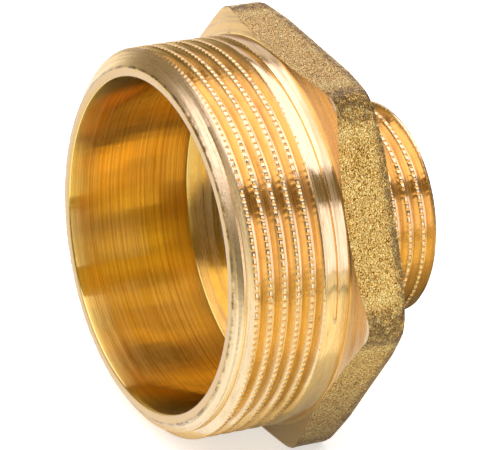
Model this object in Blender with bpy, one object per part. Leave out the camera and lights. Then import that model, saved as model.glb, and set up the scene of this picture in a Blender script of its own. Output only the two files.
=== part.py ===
"""Hexagonal brass reducing nipple, G 2 male thread to G 1 male thread.

One forged and turned piece. +X is the threads' axis, from the large end to the
small one. +Z is the normal of a hexagon flat, and the piece lies on the flat
below. The origin is under the middle of the piece, on that flat.
"""

from math import cos, pi, radians, sin, tan

import bmesh
import bpy

MM = 0.001

# Both threads are 55-degree pipe threads, 11 to the inch, right-handed.
PITCH = 25.4 * MM / 11
THREAD_DEPTH = 0.6403 * PITCH
ROOT_FLAT = PITCH / 6
FLANK = radians(27.5)

# Large male end, G 2.
LARGE_R = 59.614 * MM / 2
LARGE_END = 18.0 * MM           # length of the large end, up to the hexagon
MOUTH_R = 27.04 * MM            # outer edge of the mouth's flat ring
LEAD_IN = 2.21 * MM             # length of the lead-in chamfer
LARGE_CREST = 2.50 * MM         # where a crest crosses CREST_ANGLE, from the mouth
LARGE_RUNOUT = (4.75, 4.93)     # turns over which the groove fades to a shallow line
LARGE_LINE = 0.21               # share of the depth left in that line
LARGE_STOP = 5.08               # turn at which the line stops short
LARGE_DRIFT = 0.60 * MM         # how far the fading groove leaves the helix
CREST_ANGLE = radians(148)

# Hexagon, with its corners turned down.
FLATS = 60.0 * MM
CORNER_R = 34.0 * MM
HEX_FRONT_CORNER = 19.4 * MM    # the conical front meets the corners
HEX_REAR_CORNER = 25.4 * MM     # the rear chamfer leaves the corners
HEX_REAR = 26.3 * MM
HEX_REAR_R = 31.2 * MM

# Small male end, G 1.
SMALL_R = 33.249 * MM / 2
LENGTH = 41.6 * MM
SMALL_CREST = 29.33 * MM        # where its last crest crosses CREST_ANGLE
SMALL_RUNOUT = (-0.55, 0.15)    # turns at which its groove ends, and is full
END_R = 15.4 * MM
END_CHAMFER = 0.75 * MM

# Bore: a wide pocket from the mouth, a conical floor and a narrower hole.
POCKET_R = 25.6 * MM
POCKET_DEPTH = 21.0 * MM
HOLE_R = 13.0 * MM
HOLE_START = 22.6 * MM
EDGE = 0.3 * MM                 # small chamfer at both ends of the bore

LARGE_STEPS = 72
SMALL_STEPS = 40
CLEARANCE = 0.18 * MM           # how far a cutter stands out of what it cuts

AXIS_Z = FLATS / 2
MIDDLE = LENGTH / 2


def clear_scene():
    for item in list(bpy.data.objects):
        bpy.data.objects.remove(item, do_unlink=True)


def place(x, r, angle):
    """A point x along the axis from the mouth, at radius r, at an angle from +Y to +Z."""
    return (x - MIDDLE, r * cos(angle), AXIS_Z + r * sin(angle))


def link(name, bm):
    bmesh.ops.recalc_face_normals(bm, faces=bm.faces)
    mesh = bpy.data.meshes.new(name)
    bm.to_mesh(mesh)
    bm.free()
    item = bpy.data.objects.new(name, mesh)
    bpy.context.scene.collection.objects.link(item)
    return item


def ring_faces(bm, rings, closed):
    """Join equal rings of vertices side by side, round to the first one or capped."""
    count = len(rings[0])
    last = len(rings) if closed else len(rings) - 1
    for i in range(last):
        here, there = rings[i], rings[(i + 1) % len(rings)]
        for j in range(count):
            k = (j + 1) % count
            bm.faces.new((here[j], here[k], there[k], there[j]))
    if not closed:
        bm.faces.new(rings[0])
        bm.faces.new(rings[-1])


def turned(name, outline, steps):
    """A ring turned about the axis from a closed outline of (x, r) points."""
    bm = bmesh.new()
    rings = []
    for i in range(steps):
        angle = 2 * pi * i / steps
        rings.append([bm.verts.new(place(x, r, angle)) for x, r in outline])
    ring_faces(bm, rings, closed=True)
    return link(name, bm)


def blank():
    """The turned shape: both ends, the hexagon's round blank and the stepped bore."""
    outer = [
        (0, POCKET_R + EDGE),
        (0, MOUTH_R),
        (LEAD_IN, LARGE_R),
        (LARGE_END, LARGE_R),
        (HEX_FRONT_CORNER, CORNER_R),
        (HEX_REAR_CORNER, CORNER_R),
        (HEX_REAR, HEX_REAR_R),
        (HEX_REAR, SMALL_R),
        (LENGTH - END_CHAMFER, SMALL_R),
        (LENGTH, END_R),
    ]
    inner = [
        (LENGTH, HOLE_R + EDGE),
        (LENGTH - EDGE, HOLE_R),
        (HOLE_START, HOLE_R),
        (POCKET_DEPTH, POCKET_R),
        (EDGE, POCKET_R),
    ]
    return turned("reducing_nipple", outer + inner, LARGE_STEPS)


def hexagon_cutter():
    """A block round the hexagon with a hexagonal hole, which leaves the six flats."""
    bm = bmesh.new()
    corners = [radians(60 * i) for i in range(6)]
    inside = FLATS / 2 / cos(radians(30))
    outside = inside * 1.3
    start = LARGE_END - MM
    end = HEX_REAR + MM
    outline = [(start, inside), (start, outside), (end, outside), (end, inside)]
    rings = [[bm.verts.new(place(x, r, a)) for x, r in outline] for a in corners]
    ring_faces(bm, rings, closed=True)
    return link("cutter_hexagon", bm)


def groove_section(x, depth, major_r):
    """The trapezium of a thread groove, as (x, r) points, at a given depth."""
    root = ROOT_FLAT / 2
    top = root + (THREAD_DEPTH + CLEARANCE) * tan(FLANK)
    low = major_r - depth
    high = low + THREAD_DEPTH + CLEARANCE
    return [(x - root, low), (x + root, low), (x + top, high), (x - top, high)]


def ease(share):
    """0 to 1, level at both ends."""
    share = min(max(share, 0.0), 1.0)
    return share * share * (3 - 2 * share)


def groove_cutter(name, major_r, crest, turns, steps, fade, drift=0.0):
    """A helical groove, counted in turns from the crest's crossing of CREST_ANGLE.

    fade gives how far the tool has drawn back at a turn, from 0 to 1.
    """
    bm = bmesh.new()
    rings = []
    for i in range(round(turns[0] * steps), round(turns[1] * steps) + 1):
        turn = i / steps
        back = fade(turn)
        depth = THREAD_DEPTH - back * (THREAD_DEPTH + CLEARANCE / 2)
        x = crest + PITCH * (turn + 0.5) + drift * back
        section = groove_section(x, depth, major_r)
        angle = CREST_ANGLE + 2 * pi * turn
        rings.append([bm.verts.new(place(a, r, angle)) for a, r in section])
    ring_faces(bm, rings, closed=False)
    return link(name, bm)


def large_groove():
    start, end = LARGE_RUNOUT
    return groove_cutter(
        "cutter_g2",
        LARGE_R,
        LARGE_CREST,
        (-1.8, LARGE_STOP),
        LARGE_STEPS,
        lambda turn: (1 - LARGE_LINE) * ease((turn - start) / (end - start)),
        LARGE_DRIFT,
    )


def small_groove():
    end, start = SMALL_RUNOUT
    return groove_cutter(
        "cutter_g1",
        SMALL_R,
        SMALL_CREST,
        (end, 5.4),
        SMALL_STEPS,
        lambda turn: ease((start - turn) / (start - end)),
    )


def cut(item, cutter):
    cutter.hide_render = True
    cutter.display_type = "WIRE"
    step = item.modifiers.new(cutter.name, "BOOLEAN")
    step.operation = "DIFFERENCE"
    step.solver = "EXACT"
    step.object = cutter


def brass():
    material = bpy.data.materials.new("brass")
    material.use_nodes = True
    shader = material.node_tree.nodes["Principled BSDF"]
    shader.inputs["Base Color"].default_value = (0.80, 0.53, 0.20, 1)
    shader.inputs["Metallic"].default_value = 1.0
    shader.inputs["Roughness"].default_value = 0.28
    return material


def reducing_nipple():
    nipple = blank()
    cut(nipple, hexagon_cutter())
    cut(nipple, large_groove())
    cut(nipple, small_groove())
    nipple.data.materials.append(brass())
    nipple.data.shade_smooth()
    nipple.data.set_sharp_from_angle(angle=radians(25))


clear_scene()
reducing_nipple()
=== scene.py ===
"""Looks of the brass reducing nipple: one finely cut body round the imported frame."""

from math import atan2, cos, floor, hypot, pi, radians, sin, sqrt, tan

import bmesh
import bpy
from mathutils import Matrix, Vector, noise

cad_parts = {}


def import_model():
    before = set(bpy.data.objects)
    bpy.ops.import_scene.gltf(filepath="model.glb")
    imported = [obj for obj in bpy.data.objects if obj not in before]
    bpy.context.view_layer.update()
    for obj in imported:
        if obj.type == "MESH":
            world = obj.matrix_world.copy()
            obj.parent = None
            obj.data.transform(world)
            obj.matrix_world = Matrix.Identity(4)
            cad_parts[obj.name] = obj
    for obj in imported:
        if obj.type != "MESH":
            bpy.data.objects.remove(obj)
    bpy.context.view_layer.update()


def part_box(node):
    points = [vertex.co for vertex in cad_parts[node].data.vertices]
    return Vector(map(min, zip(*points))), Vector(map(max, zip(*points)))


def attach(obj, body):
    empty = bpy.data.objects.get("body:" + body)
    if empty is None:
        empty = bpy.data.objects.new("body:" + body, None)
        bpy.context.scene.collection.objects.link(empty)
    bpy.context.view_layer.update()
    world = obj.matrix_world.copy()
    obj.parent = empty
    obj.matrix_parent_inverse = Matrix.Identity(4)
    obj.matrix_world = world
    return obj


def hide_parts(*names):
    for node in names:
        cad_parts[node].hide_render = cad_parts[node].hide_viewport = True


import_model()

NODE = "reducing_nipple"
LOW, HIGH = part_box(NODE)

MM = 0.001

# Shape, in metres, measured from the mouth's plane along the axis and out from the axis.
LENGTH = HIGH[0] - LOW[0]
FLATS = HIGH[2] - LOW[2]
CORNER_R = (HIGH[1] - LOW[1]) / 2
AXIS_Z = (HIGH[2] + LOW[2]) / 2

# Both threads. Turns are counted from where a crest crosses CREST_ANGLE.
PITCH = 25.4 * MM / 11
FLANK = radians(27.5)
CREST_FLAT = 0.45 * MM
ROOT_HALF = 0.20 * MM
CREST_EDGE = (PITCH - CREST_FLAT) / 2
THREAD_DEPTH = (CREST_EDGE - ROOT_HALF) / tan(FLANK)
CREST_ANGLE = radians(148)

# Large end.
LARGE_R = 59.614 * MM / 2
LARGE_END = 18.0 * MM
MOUTH_R = 27.04 * MM
LEAD_SLOPE = 1.25                       # of the lead-in chamfer, radius over length
LEAD_END = (LARGE_R - MOUTH_R) / LEAD_SLOPE
LARGE_CREST = 2.50 * MM                 # where a crest crosses CREST_ANGLE
LARGE_ROWS = (0.45 * MM, 17.15 * MM)    # where the mesh follows the helix
LARGE_NOTCHED = (-2.0, 4.82)            # turns with notches in the crest
LARGE_RUNOUT = (4.77, 4.90)             # turns over which the groove fades to a line
LARGE_LINE = 0.21                       # share of the depth left in that line
LARGE_STOP = (5.084, 5.089)             # turns over which the line stops
LARGE_DRIFT = 0.50 * MM                 # how far the fading groove leaves the helix
LARGE_DRIFTING = (4.76, 4.96)           # turns over which it does
LARGE_SEED = 1.0                        # makes its notches differ from the small end's

# Rings of the mouth's outer edge: x, r from MOUTH_R, and how far a nick moves them along and
# out, in units of its depth.
MOUTH_EDGE = (
    (0.0, -0.10 * MM, 0.0, -1.5),
    (0.03 * MM, 0.0, 1.0, -1.0),
    (0.20 * MM, 0.21 * MM, 0.0, -0.4),
)
# Rings at the collar's end, with a fine line turned in its corner: x from LARGE_END and r from
# LARGE_R.
COLLAR_EDGE = ((-0.16 * MM, 0.0), (-0.07 * MM, 0.0), (0.0, -0.05 * MM))

# Hexagon.
HALF_SIDE = radians(30)
HEX_FRONT_CORNER = 19.4 * MM
HEX_REAR_CORNER = 25.4 * MM
HEX_REAR = 26.3 * MM
HEX_REAR_R = 31.2 * MM
FILLET_CENTRE = (CORNER_R - FLATS / 2) / (1 - cos(HALF_SIDE))
FILLET = CORNER_R - FILLET_CENTRE
CONE_RINGS = (0.02, 0.3, 0.6, 0.85, 0.97)    # shares of the way from the collar to the flats
FLAT_ROWS = 15
FLAT_GAPS = (0.12 * MM, 0.15 * MM)      # from the cone to the first row, and behind the last
REAR_BEVEL = 0.22 * MM                  # how far the last row is drawn in
REAR_INSETS = (0.25 * MM, 1.6 * MM)     # of the rear face's rings, in from the flats
REAR_DROP = 0.12 * MM                   # puts them a little inside the CAD's chamfer
REAR_INNER_R = HEX_REAR_R - 4 * MM

# Small end.
SMALL_R = 33.249 * MM / 2
SMALL_CREST = 29.33 * MM
SMALL_ROWS = (HEX_REAR + 0.8 * MM, LENGTH)
SMALL_NOTCHED = (0.3, 4.6)
SMALL_RUNOUT = (-0.55, 0.15)            # turns over which the groove deepens
SMALL_SEED = 7.0
NECK_RING = 1.2 * MM                    # room round the neck for the ring that starts it
NECK_CHAMFER = 0.2 * MM
END_R = 15.4 * MM
END_CHAMFER = 0.75 * MM

# Bore.
POCKET_R = 25.6 * MM
POCKET_DEPTH = 21.0 * MM
HOLE_R = 13.0 * MM
HOLE_START = 22.6 * MM
HOLE_CHAMFER = 0.2 * MM
FLOOR_STEP = (0.55 * MM, 4.3 * MM)      # between rings of the conical floor, along and out
EDGE = 0.3 * MM
RIM = (EDGE * 0.4, POCKET_R + 0.08 * MM)    # rounds the pocket's edge at the mouth

# Notches rolled across the crests: how many in a turn, how deep, how far their burrs stand
# out over the flank, and the mesh's columns across each one, as (share of the notch's pitch,
# share of its depth).
LARGE_NOTCHES = 180
SMALL_NOTCHES = 100
NOTCH_DEPTH = 0.17 * MM
BURR = 0.15 * MM
NOTCH = ((0.0, 1.0), (0.19, 0.08), (0.81, 0.08))
NOTCH_WEAR = 0.35                       # how much one notch differs from the next
NOTCH_VARIES = (40, 60)                 # noise to a turn, along the crest and round the axis
NOTCH_FADE = 0.06                       # turns over which the last ones grow shallow
NOTCH_REACH = 0.35 * MM                 # how far below the full radius there are notches

# One pitch of the thread as rows of the mesh, from one root to the next: (the side of the
# crest, distance from the root's middle, depth, share of a notch, share of a burr).
FORM = (
    (-1, ROOT_HALF, THREAD_DEPTH, 0, 0),
    (-1, 0.53 * MM, 0.66 * MM, 0, 0),
    (-1, 0.75 * MM, 0.27 * MM, 0, 0),
    (-1, 0.80 * MM, 0.19 * MM, 0, 0),
    (-1, CREST_EDGE - 0.02 * MM, 0.05 * MM, 0.8, 1),
    (-1, CREST_EDGE + 0.05 * MM, 0, 1, 0.3),
    (1, CREST_EDGE + 0.05 * MM, 0, 1, 0),
    (1, CREST_EDGE - 0.02 * MM, 0.05 * MM, 0.8, 0),
    (1, 0.80 * MM, 0.25 * MM, 0, 0),
    (1, ROOT_HALF, THREAD_DEPTH, 0, 0),
)
CREST_ROWS = range(3, 7)                # rows from which a notch reaches to the next one
SNAP = 0.03 * MM                        # rows end this far from a stretch's plain rings

# A face of the crest is inside a notch when it slopes by this much and comes this near to the
# full radius.
NOTCH_SLOPE = 0.02 * MM
NEAR_CREST = 0.05 * MM

# Unevenness of the forged flats: fractal noise over slow noise, weaker near their edges.
GRAIN_PER_MM = 1.1
GRAIN_FALL = 1.0
GRAIN_RATIO = 2.0
GRAIN_OCTAVES = 3
GRAIN_HEIGHT = 0.035 * MM
SWELL_PER_MM = 0.16
SWELL_HEIGHT = 0.06 * MM
FORGED_INSET = 0.05 * MM                # keeps the uneven flats inside the CAD's
FLAT_LENGTH = 8 * MM                    # about, from front edge to rear edge
CALM_EDGE = 0.8 * MM                    # how wide the calmer strips along the edges are
CALM_START = 0.3                        # how far into its easing the unevenness starts there

# Nicks in the mouth's edge: noise to the millimetre, and the height that dents start from.
NICK_DEPTH = 0.30 * MM
WIDE_NICKS = (1.6, 0.12)
FINE_NICKS = (4.0, 0.2)
FINE_SHARE = 0.5                        # depth of a fine nick against a wide one
NICKED_PER_MM = 0.12                    # noise that picks the stretches with nicks
NICKED_LIFT = 0.55

# Faces that meet at more than this angle get a sharp edge.
SHARP = radians(38)

# The body's materials, in the order of its slots.
THREADED, FORGED, BORED, FACED, NOTCHED = range(5)


# ---------------------------------------------------------------- mesh building

class Skin:
    """Points and faces of one closed body, built ring by ring round the axis."""

    def __init__(self):
        self.points = []
        self.faces = []
        self.slots = []
        self.last = []

    def point(self, x, r, angle):
        self.points.append((LOW[0] + x, r * cos(angle), AXIS_Z + r * sin(angle)))
        return len(self.points) - 1

    def face(self, corners, slot):
        kept = []
        for corner in corners:
            if corner not in kept:
                kept.append(corner)
        if len(kept) > 2:
            self.faces.append(kept)
            self.slots.append(slot)

    def ring(self, angles, place):
        """place gives (x, r) at an angle."""
        return [self.point(*place(angle), angle) for angle in angles]

    def band(self, here, there, slot):
        for i in range(len(here)):
            k = (i + 1) % len(here)
            self.face((here[i], here[k], there[k], there[i]), slot)

    def join(self, first, last, slot):
        """Join the body's last ring to the first one of a stretch, which ends in last."""
        self.band(self.last, first, slot)
        self.last = last

    def grow(self, angles, place, slot):
        """Add a ring, joined to the last one."""
        ring = self.ring(angles, place)
        self.join(ring, ring, slot)

    def zip(self, here, here_angles, there, there_angles, slot):
        """Join two rings with different counts, which start at the same angle."""
        i = j = 0
        count, other = len(here), len(there)
        while i < count or j < other:
            a, b = here[i % count], there[j % other]
            next_a = here_angles[i + 1] if i + 1 < count else 2 * pi + here_angles[0]
            next_b = there_angles[j + 1] if j + 1 < other else 2 * pi + there_angles[0]
            if j >= other or (i < count and next_a <= next_b):
                i += 1
                self.face((a, here[i % count], b), slot)
            else:
                j += 1
                self.face((a, there[j % other], b), slot)

    def body(self, name, materials):
        mesh = bpy.data.meshes.new(name)
        mesh.from_pydata(self.points, [], self.faces)
        mesh.polygons.foreach_set("material_index", self.slots)
        bm = bmesh.new()
        bm.from_mesh(mesh)
        bmesh.ops.recalc_face_normals(bm, faces=bm.faces)
        bm.to_mesh(mesh)
        bm.free()
        for material in materials:
            mesh.materials.append(material)
        mesh.shade_smooth()
        mesh.set_sharp_from_angle(angle=SHARP)
        return linked(name, mesh)


def linked(name, data):
    """A new object of the scene."""
    item = bpy.data.objects.new(name, data)
    bpy.context.scene.collection.objects.link(item)
    return item


def columns(notches):
    """Angles of the mesh's columns, and how deep each one is cut, from CREST_ANGLE on."""
    pitch = 2 * pi / notches
    angles = [CREST_ANGLE + pitch * (i + share) for i in range(notches) for share, _ in NOTCH]
    cuts = [cut for _ in range(notches) for _, cut in NOTCH]
    return angles, cuts


def ease(share):
    """0 to 1, level at both ends."""
    share = min(max(share, 0.0), 1.0)
    return share * share * (3 - 2 * share)


def eased(value, low, high):
    """0 up to low, 1 from high on."""
    return ease((value - low) / (high - low))


# ---------------------------------------------------------------- threads

class Thread:
    """A right-hand thread, with what is left of its groove's depth at a turn."""

    def __init__(self, radius, crest, notched, envelope, depth_left, drift, seed):
        self.radius = radius
        self.crest = crest
        self.notched = notched
        self.envelope = envelope
        self.depth_left = depth_left
        self.drift = drift
        self.seed = seed

    def place(self, row, turned, cut):
        """A point's (x, r) on a row, in a column that is turned from CREST_ANGLE."""
        crest_turn = row // len(FORM) + turned
        side, away, depth, notch, burr = FORM[row % len(FORM)]
        groove = crest_turn if side > 0 else crest_turn - 1
        left = self.depth_left(groove)
        middle = self.crest + PITCH * (groove + 0.5) + self.drift(groove)
        flank = min(max(away - ROOT_HALF, 0), CREST_EDGE - ROOT_HALF)
        x = middle - side * (away - flank * (1 - left))
        r = min(self.radius - depth * left, self.envelope(x))
        first, last = self.notched
        if notch + burr and cut and first < crest_turn < last:
            along, around = NOTCH_VARIES
            spot = Vector((crest_turn * along, turned * around, self.seed))
            wear = 1 + NOTCH_WEAR * noise.noise(spot)
            fade = ease((last - crest_turn) / NOTCH_FADE)
            fade *= eased(r, self.radius - NOTCH_REACH, self.radius)
            r -= NOTCH_DEPTH * notch * cut * wear * fade
            x -= BURR * burr * cut * wear * fade
        return x, r


def large_envelope(x):
    """Radius of the lead-in chamfer, then of the full thread."""
    return min(MOUTH_R + x * LEAD_SLOPE, LARGE_R)


def large_left(turn):
    """The large groove fades to a shallow line, which stops short."""
    faded = (1 - LARGE_LINE) * eased(turn, *LARGE_RUNOUT)
    stopped = LARGE_LINE * eased(turn, *LARGE_STOP)
    return max(1 - faded - stopped, 0)


def large_drift(turn):
    return LARGE_DRIFT * eased(turn, *LARGE_DRIFTING)


def small_envelope(x):
    """Radius of the full thread, then of the end's chamfer."""
    slope = (SMALL_R - END_R) / END_CHAMFER
    return min(END_R + (LENGTH - x) * slope, SMALL_R)


def small_left(turn):
    return eased(turn, *SMALL_RUNOUT)


def slot_of(thread, skin, quad, row, in_notch):
    """The thread's own brass, or the rougher brass of its notches and lead-in chamfer."""
    xs = [skin.points[corner][0] - LOW[0] for corner in quad]
    rs = [hypot(skin.points[corner][1], skin.points[corner][2] - AXIS_Z) for corner in quad]
    if max(xs) < LEAD_END:
        return FACED
    sloping = max(rs) - min(rs) > NOTCH_SLOPE
    on_crest = max(rs) > thread.radius - NEAR_CREST and row % len(FORM) in CREST_ROWS
    return NOTCHED if in_notch and sloping and on_crest else THREADED


def thread_zone(skin, thread, angles, cuts, start, end):
    """Rows that follow the helix between two plain rings. Returns both rings."""
    per_turn = len(FORM)
    lowest = (floor((start - thread.crest) / PITCH) - 2) * per_turn
    highest = (floor((end - thread.crest) / PITCH) + 2) * per_turn
    firsts = skin.ring(angles, lambda a: (start, thread.envelope(start)))
    lasts = skin.ring(angles, lambda a: (end, thread.envelope(end)))
    sides = []
    for angle, cut in zip(angles, cuts):
        turned = (angle - CREST_ANGLE) / (2 * pi)
        inner = {}
        for row in range(lowest, highest):
            x, r = thread.place(row, turned, cut)
            if start + SNAP < x < end - SNAP:
                inner[row] = skin.point(x, r, angle)
        sides.append((min(inner), max(inner), inner))
    count = len(angles)

    def corner(i, row):
        if i == count:
            i, row = 0, row + per_turn
        low, high, inner = sides[i]
        if row < low:
            return firsts[i]
        return lasts[i] if row > high else inner[row]

    for i in range(count):
        shift = per_turn if i + 1 == count else 0
        after = sides[(i + 1) % count]
        low = min(sides[i][0], after[0] - shift) - 1
        high = max(sides[i][1], after[1] - shift) + 1
        in_notch = max(cuts[i], cuts[(i + 1) % count]) > 0.5
        for row in range(low, high):
            quad = (corner(i, row), corner(i + 1, row), corner(i + 1, row + 1), corner(i, row + 1))
            skin.face(quad, slot_of(thread, skin, quad, row, in_notch))
    return firsts, lasts


# ---------------------------------------------------------------- hexagon form

def hexagon_r(angle):
    """Radius of the hexagon with rounded corners. Corners lie at 0, 60, 120 degrees."""
    off = abs((angle + HALF_SIDE) % (2 * HALF_SIDE) - HALF_SIDE)
    across = FILLET_CENTRE * sin(off)
    round_r = FILLET_CENTRE * cos(off) + sqrt(max(FILLET**2 - across**2, 0))
    flat_r = FLATS / 2 / cos(HALF_SIDE - off)
    tangent = atan2(FILLET_CENTRE * sin(HALF_SIDE), FLATS / 2)
    return round_r if HALF_SIDE - off > tangent else flat_r


def front_x(r):
    """The conical front face of the hexagon."""
    slope = (HEX_FRONT_CORNER - LARGE_END) / (CORNER_R - LARGE_R)
    return LARGE_END + (r - LARGE_R) * slope


def rear_x(r):
    """The flat rear face of the hexagon and its chamfer."""
    slope = (HEX_REAR - HEX_REAR_CORNER) / (CORNER_R - HEX_REAR_R)
    return HEX_REAR - max(r - HEX_REAR_R, 0) * slope


def forged(x, r, angle, amount):
    """Push a point of the forged surface in or out by a fine, uneven amount."""
    spot = Vector((x, r * cos(angle), r * sin(angle))) / MM
    grain = noise.fractal(spot * GRAIN_PER_MM, GRAIN_FALL, GRAIN_RATIO, GRAIN_OCTAVES)
    swell = noise.noise(spot * SWELL_PER_MM) * SWELL_HEIGHT
    return r + amount * (grain * GRAIN_HEIGHT + swell) - FORGED_INSET * amount


def on_front(r):
    return front_x(r), r


def on_flat(angle, share):
    """A point's (x, r) on a flat, at a share of the way from its front edge to its rear one."""
    before, behind = FLAT_GAPS
    r = hexagon_r(angle)
    front = front_x(r) + before
    x = front + (rear_x(r) - behind - front) * share
    from_edge = min(share, 1 - share) * FLAT_LENGTH
    bevel = REAR_BEVEL if share == 1 else 0
    return x, forged(x, r, angle, ease(CALM_START + from_edge / CALM_EDGE)) - bevel


def on_rear(r):
    return rear_x(r + REAR_DROP), r


# ---------------------------------------------------------------- the body

def dent(spot, per_mm, start):
    return max(noise.noise(spot * per_mm) - start, 0)


def nicked(angle):
    """Depth of the small dents along the mouth's outer edge."""
    spot = Vector((cos(angle), sin(angle), 0.3)) * MOUTH_R / MM
    depth = dent(spot, *WIDE_NICKS) + FINE_SHARE * dent(spot, *FINE_NICKS)
    where = ease(noise.noise(spot * NICKED_PER_MM) + NICKED_LIFT)
    return NICK_DEPTH * depth * where


def mouth(skin, angles):
    """The flat ring and the start of the lead-in chamfer. Returns the ring's inner rim."""
    rim = skin.ring(angles, lambda a: (0.0, POCKET_R + EDGE))
    skin.last = rim
    for x, r, along, out in MOUTH_EDGE:
        skin.grow(angles, lambda a: (x + along * nicked(a), MOUTH_R + r + out * nicked(a)), FACED)
    return rim


def large_end(skin, angles, cuts):
    """The large thread and its collar."""
    g2 = Thread(LARGE_R, LARGE_CREST, LARGE_NOTCHED, large_envelope, large_left, large_drift,
                LARGE_SEED)
    first, last = thread_zone(skin, g2, angles, cuts, *LARGE_ROWS)
    skin.join(first, last, FACED)
    for x, r in COLLAR_EDGE:
        skin.grow(angles, lambda a: (LARGE_END + x, LARGE_R + r), THREADED)


def hexagon(skin, angles):
    """The turned front face, the forged flats and the forged rear face."""
    for share in CONE_RINGS:
        skin.grow(angles, lambda a: on_front(LARGE_R + (hexagon_r(a) - LARGE_R) * share), THREADED)
    for i in range(FLAT_ROWS + 1):
        skin.grow(angles, lambda a: on_flat(a, i / FLAT_ROWS), FORGED)
    for inset in REAR_INSETS:
        skin.grow(angles, lambda a: on_rear(hexagon_r(a) - inset), FORGED)
    skin.grow(angles, lambda a: (HEX_REAR, REAR_INNER_R), FORGED)


def small_end(skin, large_angles, angles, cuts):
    """The neck, joined to the hexagon's wider mesh, and the small thread to its end."""
    neck = skin.ring(angles, lambda a: (HEX_REAR, SMALL_R + NECK_RING))
    skin.zip(skin.last, large_angles, neck, angles, THREADED)
    skin.last = neck
    skin.grow(angles, lambda a: (HEX_REAR, SMALL_R + NECK_CHAMFER), THREADED)
    skin.grow(angles, lambda a: (HEX_REAR + NECK_CHAMFER, SMALL_R), THREADED)
    g1 = Thread(SMALL_R, SMALL_CREST, SMALL_NOTCHED, small_envelope, small_left,
                lambda turn: 0.0, SMALL_SEED)
    first, last = thread_zone(skin, g1, angles, cuts, *SMALL_ROWS)
    skin.join(first, last, THREADED)


def bore(skin, angles):
    """The hole, the pocket's conical floor and its wall, back from the small end."""
    back, out = FLOOR_STEP
    for x, r, slot in (
        (LENGTH, HOLE_R + EDGE, FACED),
        (LENGTH - EDGE, HOLE_R, BORED),
        (LENGTH * 0.75, HOLE_R, BORED),
        (HOLE_START + HOLE_CHAMFER, HOLE_R, BORED),
        (HOLE_START, HOLE_R + HOLE_CHAMFER, BORED),
        (HOLE_START - back, HOLE_R + out, THREADED),
        (HOLE_START - 2 * back, HOLE_R + 2 * out, THREADED),
        (POCKET_DEPTH, POCKET_R - EDGE, THREADED),
        (POCKET_DEPTH - EDGE, POCKET_R, BORED),
        (POCKET_DEPTH * 0.75, POCKET_R, BORED),
        (POCKET_DEPTH * 0.5, POCKET_R, BORED),
        (POCKET_DEPTH * 0.25, POCKET_R, BORED),
        (EDGE, POCKET_R, BORED),
        (*RIM, BORED),
    ):
        skin.grow(angles, lambda a: (x, r), slot)


def nipple_body(materials):
    """From the mouth's rim over the outside to the small end, and back through the bore."""
    skin = Skin()
    large, large_cuts = columns(LARGE_NOTCHES)
    small, small_cuts = columns(SMALL_NOTCHES)
    rim = mouth(skin, large)
    large_end(skin, large, large_cuts)
    hexagon(skin, large)
    small_end(skin, large, small, small_cuts)
    bore(skin, small)
    skin.zip(skin.last, small, rim, large, FACED)
    return skin.body("nipple_body", materials)


# ---------------------------------------------------------------- materials

BRASS = (0.88, 0.62, 0.235, 1)
CARD_BLACK = (0.02, 0.02, 0.02, 1)

# Where looks change, as (start, end) of each change: radii out from the threads' axis, then
# places along X and Z.
RING_END = (MOUTH_R - 0.04 * MM, MOUTH_R + 0.11 * MM)
CHEWED_START = (MOUTH_R - 0.24 * MM, MOUTH_R - 0.04 * MM)
CHEWED_END = (MOUTH_R + 0.11 * MM, MOUTH_R + 0.36 * MM)
# From this radius outwards the hexagon's conical front face gets painted shade.
CONE_SHADE_START = (LARGE_R + 0.2 * MM, LARGE_R + 0.5 * MM)
SCRAPED_START = (CORNER_R - 2.1 * MM, CORNER_R - 1.6 * MM)
SCRAPED_END = (CORNER_R - 1.6 * MM, CORNER_R - 1.1 * MM)
CORNER_STAIN = (CORNER_R - 1.3 * MM, CORNER_R - 0.7 * MM)
# In front of this place along X the hexagon's conical front face gets painted shade.
CONE_SHADE_BEHIND = (LOW[0] + HEX_FRONT_CORNER + 0.4 * MM, LOW[0] + HEX_FRONT_CORNER + 0.6 * MM)
REAR_STAIN = (LOW[0] + HEX_REAR_CORNER - 0.9 * MM, LOW[0] + HEX_REAR_CORNER - 0.1 * MM)
# The forged underside gets painted shade, strongest at the lower of these heights.
UNDERSIDE_SHADE = (LOW[2] + 5.0 * MM, LOW[2] + 19.0 * MM)


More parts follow.
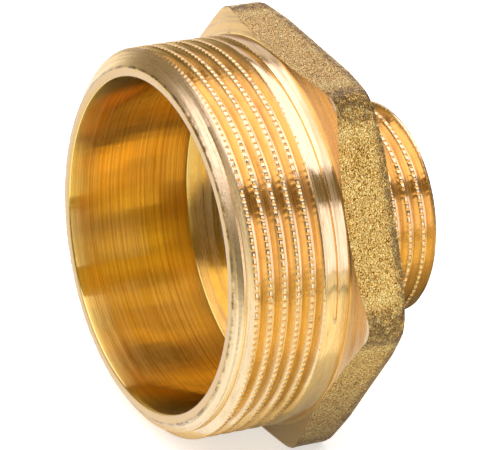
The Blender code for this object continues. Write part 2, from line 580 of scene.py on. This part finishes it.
class Nodes:
    """A material's node tree, with short calls for the nodes used here."""

    def __init__(self, name):
        self.material = bpy.data.materials.new(name)
        self.material.use_nodes = True
        self.tree = self.material.node_tree
        self.shader = self.tree.nodes["Principled BSDF"]
        self.place = self.node("ShaderNodeTexCoord").outputs["Object"]

    def set(self, name, value):
        """A value that is the same all over the surface."""
        self.shader.inputs[name].default_value = value

    def node(self, kind, **values):
        made = self.tree.nodes.new(kind)
        for name, value in values.items():
            setattr(made, name, value)
        return made

    def link(self, output, entry):
        self.tree.links.new(output, entry)

    def brushed(self, amount):
        """Tool lines round the X axis, which spread a reflection along that axis."""
        tangent = self.node("ShaderNodeTangent", direction_type="RADIAL", axis="X")
        self.link(tangent.outputs["Tangent"], self.shader.inputs["Tangent"])
        self.set("Anisotropic", amount)
        self.set("Anisotropic Rotation", 0.25)

    def stretched(self, per_mm):
        """Object coordinates in millimetres, stretched by (x, y, z) factors."""
        made = self.node("ShaderNodeMapping")
        made.inputs["Scale"].default_value = tuple(s / MM for s in per_mm)
        self.link(self.place, made.inputs["Vector"])
        return made.outputs["Vector"]

    def noise(self, per_mm, detail, rough):
        made = self.node("ShaderNodeTexNoise")
        made.inputs["Scale"].default_value = 1.0
        made.inputs["Detail"].default_value = detail
        made.inputs["Roughness"].default_value = rough
        self.link(self.stretched(per_mm), made.inputs["Vector"])
        return made.outputs["Fac"]

    def cells(self, per_mm):
        """Height of close-set round grains."""
        made = self.node("ShaderNodeTexVoronoi", feature="SMOOTH_F1")
        made.inputs["Scale"].default_value = 1.0
        made.inputs["Smoothness"].default_value = 0.3
        self.link(self.stretched((per_mm, per_mm, per_mm)), made.inputs["Vector"])
        return made.outputs["Distance"]

    def along(self, axis):
        """Distance along one of the part's axes, in millimetres."""
        made = self.node("ShaderNodeSeparateXYZ")
        self.link(self.stretched((1, 1, 1)), made.inputs["Vector"])
        return made.outputs[axis]

    def radius(self):
        """Distance from the threads' axis, in millimetres."""
        moved = self.node("ShaderNodeVectorMath", operation="SUBTRACT")
        moved.inputs[1].default_value = (0, 0, AXIS_Z / MM)
        self.link(self.stretched((1, 1, 1)), moved.inputs[0])
        across = self.node("ShaderNodeVectorMath", operation="MULTIPLY")
        across.inputs[1].default_value = (0, 1, 1)
        self.link(moved.outputs["Vector"], across.inputs[0])
        length = self.node("ShaderNodeVectorMath", operation="LENGTH")
        self.link(across.outputs["Vector"], length.inputs[0])
        return length.outputs["Value"]

    def ramp(self, value, stops):
        """A colour for a value, from (value, colour) stops."""
        made = self.node("ShaderNodeValToRGB")
        ramp = made.color_ramp
        while len(ramp.elements) < len(stops):
            ramp.elements.new(0.5)
        for element, (place, colour) in zip(ramp.elements, stops):
            element.position = place
            element.color = colour
        self.link(value, made.inputs["Fac"])
        return made.outputs["Color"]

    def spread(self, value, ends, onto):
        """A value carried over from one pair of ends onto another, and held outside them."""
        made = self.node("ShaderNodeMapRange")
        names = ("From Min", "From Max", "To Min", "To Max")
        for name, number in zip(names, (*ends, *onto)):
            made.inputs[name].default_value = number
        self.link(value, made.inputs["Value"])
        return made.outputs["Result"]

    def times(self, one, other):
        made = self.node("ShaderNodeMath", operation="MULTIPLY")
        self.link(one, made.inputs[0])
        self.link(other, made.inputs[1])
        return made.outputs["Value"]

    def step(self, distance, ends, onto):
        """spread for a distance, with its ends in metres."""
        return self.spread(distance, [end / MM for end in ends], onto)

    def between(self, distance, rise, fall):
        """1 from the end of rise to the start of fall, and 0 outside both."""
        rising = self.step(distance, rise, (0.0, 1.0))
        return self.times(rising, self.step(distance, fall, (1.0, 0.0)))

    def blend(self, one, other, share):
        made = self.node("ShaderNodeMix", data_type="FLOAT")
        made.inputs["Factor"].default_value = share
        self.link(one, made.inputs["A"])
        self.link(other, made.inputs["B"])
        return made.outputs["Result"]

    def over(self, below, colour, share):
        """A plain colour laid over another by a share from 0 to 1."""
        made = self.node("ShaderNodeMix", data_type="RGBA")
        self.link(share, made.inputs["Factor"])
        self.link(below, made.inputs["A"])
        made.inputs["B"].default_value = colour
        return made.outputs["Result"]

    def bump(self, height, distance, below=None):
        made = self.node("ShaderNodeBump")
        made.inputs["Distance"].default_value = distance
        made.inputs["Strength"].default_value = 1.0
        self.link(height, made.inputs["Height"])
        if below:
            self.link(below, made.inputs["Normal"])
        return made.outputs["Normal"]

    def finish(self, **outputs):
        """Link outputs to the shader's sockets, named in plain words."""
        for name, socket in (("colour", "Base Color"), ("roughness", "Roughness"),
                             ("normal", "Normal"), ("glow", "Emission Strength")):
            if name in outputs:
                self.link(outputs[name], self.shader.inputs[socket])
        return self.material


def metal(name, roughness):
    """The start of one of the body's brass materials."""
    n = Nodes(name)
    n.set("Metallic", 1.0)
    n.set("Base Color", BRASS)
    n.set("Roughness", roughness)
    return n


def tint(factor, shift=(1, 1, 1)):
    """BRASS, darker or lighter, with its red, green and blue shifted."""
    return tuple(BRASS[i] * factor * shift[i] for i in range(3)) + (1,)


def turned_brass():
    """Threads, collar, cone and the pocket's floor: bright, with tool lines and brown stains, and
    painted shade that makes the cone in front of the hexagon a darker tan.
    """
    worn_brown = (0.56, 0.33, 0.09, 1)
    cone_painted_shade_tan = (0.66, 0.43, 0.17, 1)
    n = metal("turned_brass", 0.2)
    n.brushed(0.75)
    lines = n.noise((9, 0.04, 0.04), detail=3.0, rough=0.65)
    rings = n.noise((2.2, 0.001, 0.001), detail=3.0, rough=0.6)
    stains = n.noise((1.3, 0.25, 0.25), detail=5.0, rough=0.65)
    worn = n.noise((4.0, 0.03, 0.03), detail=3.0, rough=0.7)
    colour = n.ramp(stains, [
        (0.26, tint(0.42, (1, 0.85, 0.7))),
        (0.33, tint(0.90, (1, 0.96, 0.9))),
        (0.60, tint(1.03)),
    ])
    colour = n.over(colour, worn_brown, n.spread(worn, (0.55, 0.70), (0.0, 0.5)))
    # Painted shade: a darker tan laid over the hexagon's conical front face.
    off_collar = n.step(n.radius(), CONE_SHADE_START, (0.0, 0.8))
    in_front = n.step(n.along("X"), CONE_SHADE_BEHIND, (1.0, 0.0))
    colour = n.over(colour, cone_painted_shade_tan, n.times(off_collar, in_front))
    roughness = n.spread(worn, (0.45, 0.62), (0.15, 0.36))
    normal = n.bump(lines, 0.008 * MM, below=n.bump(rings, 0.020 * MM))
    return n.finish(colour=colour, roughness=roughness, normal=normal)


def forged_brass():
    """Flats and rear face: sandy, darker at the corners and along the rear edge, with painted
    shade darkening them underneath.
    """
    scraped_gold = (1.0, 0.75, 0.20, 1)
    corner_brown = (0.17, 0.10, 0.03, 1)
    rear_brown = (0.20, 0.12, 0.04, 1)
    underside_shade_brown = (0.30, 0.19, 0.07, 1)
    n = metal("forged_brass", 0.3)
    grain = n.cells(4.2)
    dirt = n.noise((3.2, 3.2, 3.2), detail=2.0, rough=0.8)
    clouds = n.noise((0.30, 0.30, 0.30), detail=3.0, rough=0.7)
    scratches = n.noise((4.5, 0.25, 0.25), detail=2.0, rough=0.6)
    swell = n.noise((0.35, 0.35, 0.35), detail=3.0, rough=0.6)
    patches = n.noise((0.9, 0.9, 0.9), detail=4.0, rough=0.8)
    colour = n.ramp(n.blend(dirt, clouds, 0.10), [
        (0.38, (0.26, 0.12, 0.01, 1)),
        (0.47, (0.98, 0.53, 0.08, 1)),
        (0.56, (1.0, 0.76, 0.21, 1)),
    ])
    radius = n.radius()
    beside_corners = n.between(radius, SCRAPED_START, SCRAPED_END)
    scraped = n.times(beside_corners, n.spread(scratches, (0.45, 0.55), (0.0, 1.0)))
    colour = n.over(colour, scraped_gold, scraped)
    blotches = n.spread(patches, (0.38, 0.55), (0.0, 0.9))
    corners = n.times(n.step(radius, CORNER_STAIN, (0.0, 0.85)), blotches)
    colour = n.over(colour, corner_brown, corners)
    rear = n.times(n.step(n.along("X"), REAR_STAIN, (0.0, 0.8)), blotches)
    colour = n.over(colour, rear_brown, rear)
    # Painted shade: darker brown laid over the underside, fading out higher up.
    underside_shade = n.step(n.along("Z"), UNDERSIDE_SHADE, (0.55, 0.0))
    colour = n.over(colour, underside_shade_brown, underside_shade)
    roughness = n.spread(dirt, (0.35, 0.65), (0.36, 0.14))
    normal = n.bump(grain, 0.50 * MM, below=n.bump(swell, 0.5 * MM))
    return n.finish(colour=colour, roughness=roughness, normal=normal)


def bored_brass():
    """The walls of the pocket and the hole: bright, with fine streaks round the axis."""
    n = metal("bored_brass", 0.28)
    n.brushed(1.0)
    streaks = n.noise((2.6, 0.002, 0.002), detail=2.0, rough=0.8)
    patches = n.noise((0.7, 0.10, 0.10), detail=4.0, rough=0.7)
    colour = n.ramp(streaks, [(0.38, (0.74, 0.46, 0.075, 1)), (0.58, (1.0, 0.75, 0.155, 1))])
    roughness = n.spread(patches, (0.3, 0.7), (0.15, 0.25))
    return n.finish(colour=colour, roughness=roughness, normal=n.bump(streaks, 0.026 * MM))


def faced_brass():
    """End faces and lead-in chamfer: paler and duller, with a chewed dark edge at the mouth."""
    ring_brass = (0.72, 0.45, 0.125, 1)
    edge_brown = (0.13, 0.08, 0.02, 1)
    n = metal("faced_brass", 0.3)
    pits = n.noise((1.6, 1.6, 1.6), detail=4.0, rough=0.7)
    streaks = n.noise((4.0, 0.03, 0.03), detail=4.0, rough=0.7)
    bites = n.noise((0.5, 0.5, 0.5), detail=4.0, rough=0.8)
    mixed = n.blend(pits, streaks, 0.75)
    colour = n.ramp(mixed, [
        (0.37, (0.52, 0.35, 0.12, 1)),
        (0.46, (0.86, 0.60, 0.22, 1)),
        (0.62, (0.97, 0.69, 0.28, 1)),
    ])
    radius = n.radius()
    colour = n.over(colour, ring_brass, n.step(radius, RING_END, (1.0, 0.0)))
    edge = n.between(radius, CHEWED_START, CHEWED_END)
    chewed = n.spread(bites, (0.46, 0.56), (0.15, 0.75))
    colour = n.over(colour, edge_brown, n.times(edge, chewed))
    roughness = n.spread(mixed, (0.35, 0.65), (0.38, 0.22))
    normal = n.bump(streaks, 0.020 * MM, below=n.bump(pits, 0.03 * MM))
    return n.finish(colour=colour, roughness=roughness, normal=normal)


def notched_brass_painted_shade():
    """Inside the notches: squeezed metal, rough, with a deep orange painted in as shade and as
    reflection between the notch's sides.
    """
    n = metal("notched_brass_painted_shade", 0.5)
    grain = n.noise((4.0, 4.0, 4.0), detail=2.0, rough=0.6)
    # Painted shade and painted reflection: the deep orange stands in for light bouncing between
    # the notch's sides.
    colour = n.ramp(grain, [(0.35, (0.72, 0.38, 0.06, 1)), (0.65, (1.0, 0.62, 0.16, 1))])
    return n.finish(colour=colour)


# ---------------------------------------------------------------- studio

# Colours of the lights, of the cards' glow, of the floor and of the room round it.
WHITE = (1, 1, 1)
COOL = (0.95, 1.0, 1.90)
PALE = (0.95, 1.06, 1.70)
FAINT = (0.98, 1.0, 1.60)
WARM = (1, 0.94, 0.9)
CREAM = (0.93, 0.90, 0.54)
DIM = (0.22, 0.18, 0.12)
BACKDROP = (0.95, 0.95, 0.95)

FLOOR_ENDS = (-6.0, 6.0)
FLOOR_Z = LOW[2] - 0.02 * MM
CARD_Z = 0.3 * MM
OVERHEAD = AXIS_Z + 0.80

# The view of the photograph: where the camera stands, from a point in the part, its roll,
# and its lens on a sensor 36 mm wide.
AZIMUTH = radians(-31.57)
ELEVATION = radians(28.07)
ROLL = radians(6.62)
DISTANCE = 611.6 * MM
AIM = Vector((-2.17 * MM, 1.25 * MM, AXIS_Z - 0.13 * MM))
LENS = 289.64


def seen_or_reflected(tree, kind, reflected, seen):
    """A number or colour that differs between the camera's own view and reflections."""
    path = tree.nodes.new("ShaderNodeLightPath")
    mix = tree.nodes.new("ShaderNodeMix")
    mix.data_type = kind
    mix.inputs["A"].default_value = reflected
    mix.inputs["B"].default_value = seen
    tree.links.new(path.outputs["Is Camera Ray"], mix.inputs["Factor"])
    return mix.outputs["Result"]


def sheet(name, corners, material):
    """A flat sheet of the studio with four corners."""
    mesh = bpy.data.meshes.new(name)
    mesh.from_pydata(corners, [], [(0, 1, 2, 3)])
    mesh.materials.append(material)
    item = linked(name, mesh)
    return item


def rectangle(x_ends, y_ends, z):
    (left, right), (near, far) = x_ends, y_ends
    return [(left, near, z), (right, near, z), (right, far, z), (left, far, z)]


def plain_floor():
    """A wide pale floor, white to the camera and duller in reflections."""
    n = Nodes("floor")
    n.set("Base Color", (*CREAM, 1))
    n.set("Roughness", 0.8)
    n.set("Emission Color", (*WHITE, 1))
    n.finish(glow=seen_or_reflected(n.tree, "FLOAT", reflected=0.22, seen=0.60))
    sheet("floor", rectangle(FLOOR_ENDS, FLOOR_ENDS, FLOOR_Z), n.material)


def card(name, corners, n):
    """A black card that only the brass reflects, glowing as bright as its material says."""
    n.set("Base Color", CARD_BLACK)
    item = sheet(name, corners, n.material)
    item.visible_camera = False
    item.visible_diffuse = False
    item.visible_shadow = False


def flag(name, start, end, height, radiance):
    """A low upright card, standing on the floor from start to end."""
    n = Nodes(name)
    n.set("Emission Color", (*WARM, 1))
    n.set("Emission Strength", radiance)
    card(name, [(*start, 0), (*end, 0), (*end, height), (*start, height)], n)


def floor_light_card(name, x_ends, y_ends, radiances, colour):
    """A card lying on the floor whose glow changes from one of its y ends to the other: painted
    light and painted shadow on the floor, seen only in reflections.
    """
    n = Nodes(name)
    n.set("Roughness", 0.8)
    n.set("Emission Color", (*colour, 1))
    n.finish(glow=n.step(n.along("Y"), y_ends, radiances))
    card(name, rectangle(x_ends, sorted(y_ends), CARD_Z), n)


def softbox(name, at, aim, size, radiance, colour, on_floor=True):
    """A rectangular area light as bright as radiance from every side, its width along X."""
    width, height = size
    light = bpy.data.lights.new(name, "AREA")
    light.shape = "RECTANGLE"
    light.size = width
    light.size_y = height
    light.energy = radiance * pi * width * height
    light.color = colour
    item = linked(name, light)
    facing = (Vector(at) - Vector(aim)).normalized()
    across = (Vector((1, 0, 0)) - facing * facing.x).normalized()
    item.matrix_world = Matrix((across, facing.cross(across), facing)).transposed().to_4x4()
    item.matrix_world.translation = at
    item.visible_camera = False
    item.visible_diffuse = on_floor


def world():
    """A dim room for reflections, and a pale one where the camera sees past the floor."""
    made = bpy.data.worlds.new("room")
    bpy.context.scene.world = made
    made.use_nodes = True
    tree = made.node_tree
    colour = seen_or_reflected(tree, "RGBA", reflected=(*DIM, 1), seen=(*BACKDROP, 1))
    tree.links.new(colour, tree.nodes["Background"].inputs["Color"])


def camera():
    """At the photograph's viewing angle: high on the mouth's side, with a slight roll."""
    flat = cos(ELEVATION)
    back = Vector((sin(AZIMUTH) * flat, -cos(AZIMUTH) * flat, sin(ELEVATION)))
    data = bpy.data.cameras.new("camera")
    data.sensor_width = 36
    data.lens = LENS
    data.clip_start = 0.01
    data.clip_end = 50
    item = linked("camera", data)
    turn = (-back).to_track_quat("-Z", "Y").to_matrix() @ Matrix.Rotation(ROLL, 3, "Z")
    item.matrix_world = Matrix.Translation(AIM + back * DISTANCE) @ turn.to_4x4()
    bpy.context.scene.camera = item


def studio():
    """Wide panels overhead and over the mouth, a bright low one in front, a dim one behind.

    Glowing cards on the floor, which only the brass reflects, are painted light: a painted shadow
    in front of the part and painted pools of light round the mouth.
    """
    plain_floor()
    world()
    softbox("top_light", at=(0.35, 0.12, OVERHEAD), aim=(0.35, 0.12, 0), size=(1.3, 1.24),
            radiance=1.80, colour=COOL)
    softbox("mouth_light", at=(-1.45, 0.14, OVERHEAD), aim=(-1.45, 0.14, 0), size=(2.3, 1.28),
            radiance=1.55, colour=COOL)
    softbox("front_light", at=(0.50, -1.0, 0.42), aim=(0.50, 0, 0.42), size=(1.6, 0.78),
            radiance=1.35, colour=COOL, on_floor=False)
    softbox("back_light", at=(0.60, 1.3, 0.55), aim=(0.60, 0, 0.55), size=(1.6, 1.0),
            radiance=0.64, colour=FAINT)
    flag("left_flag", start=(-0.22, -0.012), end=(-0.22, -0.14), height=0.045, radiance=0.22)
    flag("corner_flag", start=(-0.17, -0.09), end=(-0.06, -0.165), height=0.130, radiance=0.04)
    flag("front_flag", start=(-0.30, -0.185), end=(0.55, -0.185), height=0.010, radiance=0.12)
    flag("hole_flag", start=(0.045, 0.025), end=(0.045, -0.025), height=0.055, radiance=0.16)
    # Painted shadow: nearly dark where it meets the part, brighter further in front.
    floor_light_card("front_floor_shadow_card", x_ends=(-0.012, 0.05), y_ends=(0.0, -0.048), radiances=(0.08, 0.82),
        colour=WARM)
    # Painted light: bright pools on the floor round the mouth.
    floor_light_card("corner_floor_light_card", x_ends=(-0.12, -0.021), y_ends=(0.0, -0.10), radiances=(1.15, 1.15),
        colour=PALE)
    floor_light_card("mouth_floor_light_card", x_ends=(-0.45, -0.021), y_ends=(0.0, 0.20), radiances=(1.15, 1.15),
        colour=PALE)
    bpy.context.scene.view_settings.view_transform = "Standard"


camera()
body = nipple_body([
    turned_brass(), forged_brass(), bored_brass(), faced_brass(), notched_brass_painted_shade(),
])
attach(body, "root")
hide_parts(NODE)
studio()
